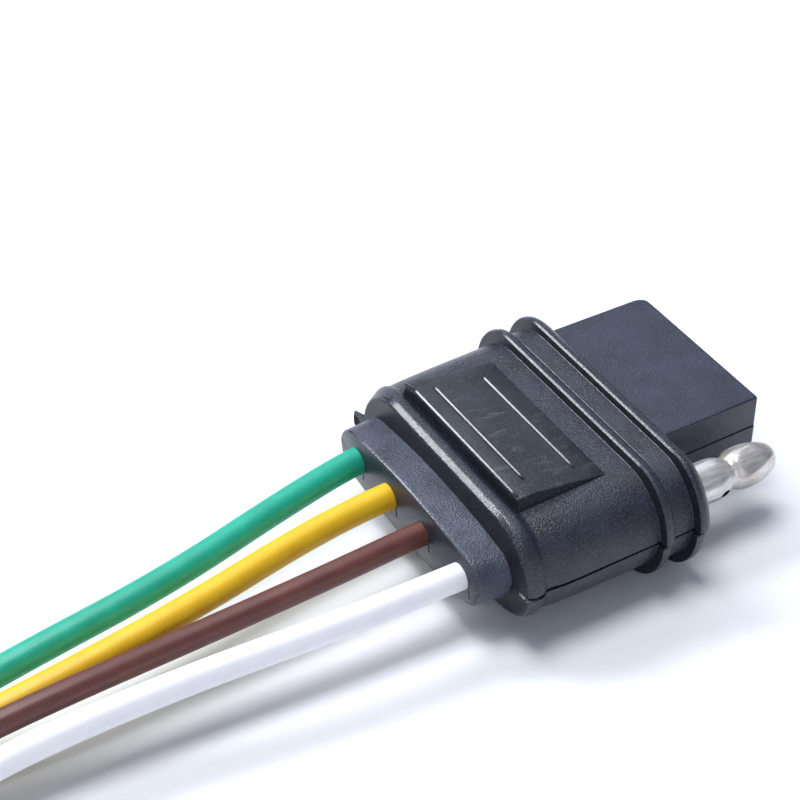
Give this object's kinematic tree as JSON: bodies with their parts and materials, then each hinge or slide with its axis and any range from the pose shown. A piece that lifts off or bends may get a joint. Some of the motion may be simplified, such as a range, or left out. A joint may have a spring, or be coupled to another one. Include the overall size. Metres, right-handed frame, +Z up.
{
  "type": "trailer wiring connector",
  "caption": "Flat moulded trailer wiring connector with shrouded sleeve sockets, an exposed bullet pin and flexible coloured leads ending in stripped wire.",
  "frame": {"origin": "On the floor under the middle of the moulding's bounding box, leads left out", "axes": "+X from the leads towards the sockets and the pin, +Z up, +Y towards the green lead's side"},
  "size_m": [0.1488, 0.0524, 0.0146],
  "materials": {
    "moulding_pvc": "fine grained moulded PVC",
    "nose_pvc": "smooth satin moulded PVC",
    "terminal_brass": "bare brass sheet",
    "tinned_pin": "bright tin plated brass",
    "copper_strand": "fine copper strands",
    "wire_green": "glossy PVC insulation",
    "wire_yellow": "glossy PVC insulation",
    "wire_brown": "glossy PVC insulation",
    "wire_white": "glossy PVC insulation",
    "wire_coil": "four glossy PVC leads wound together",
    "tie_plastic": "soft plastic tie"
  },
  "bodies": {
    "root": {"outer_moulding": "moulding_pvc", "socket_block": "nose_pvc", "sleeve_terminal_green": "terminal_brass", "sleeve_terminal_yellow": "terminal_brass", "sleeve_terminal_brown": "terminal_brass", "bullet_pin": "tinned_pin", "conductor_green": "copper_strand", "conductor_yellow": "copper_strand", "conductor_brown": "copper_strand", "conductor_white": "copper_strand", "lead_green": "wire_green", "lead_yellow": "wire_yellow", "lead_brown": "wire_brown", "lead_white": "wire_white", "bare_end_green": "copper_strand", "bare_end_yellow": "copper_strand", "bare_end_brown": "copper_strand", "bare_end_white": "copper_strand", "lead_coil": "wire_coil", "coil_tie": "tie_plastic"}
  },
  "joints": []
}
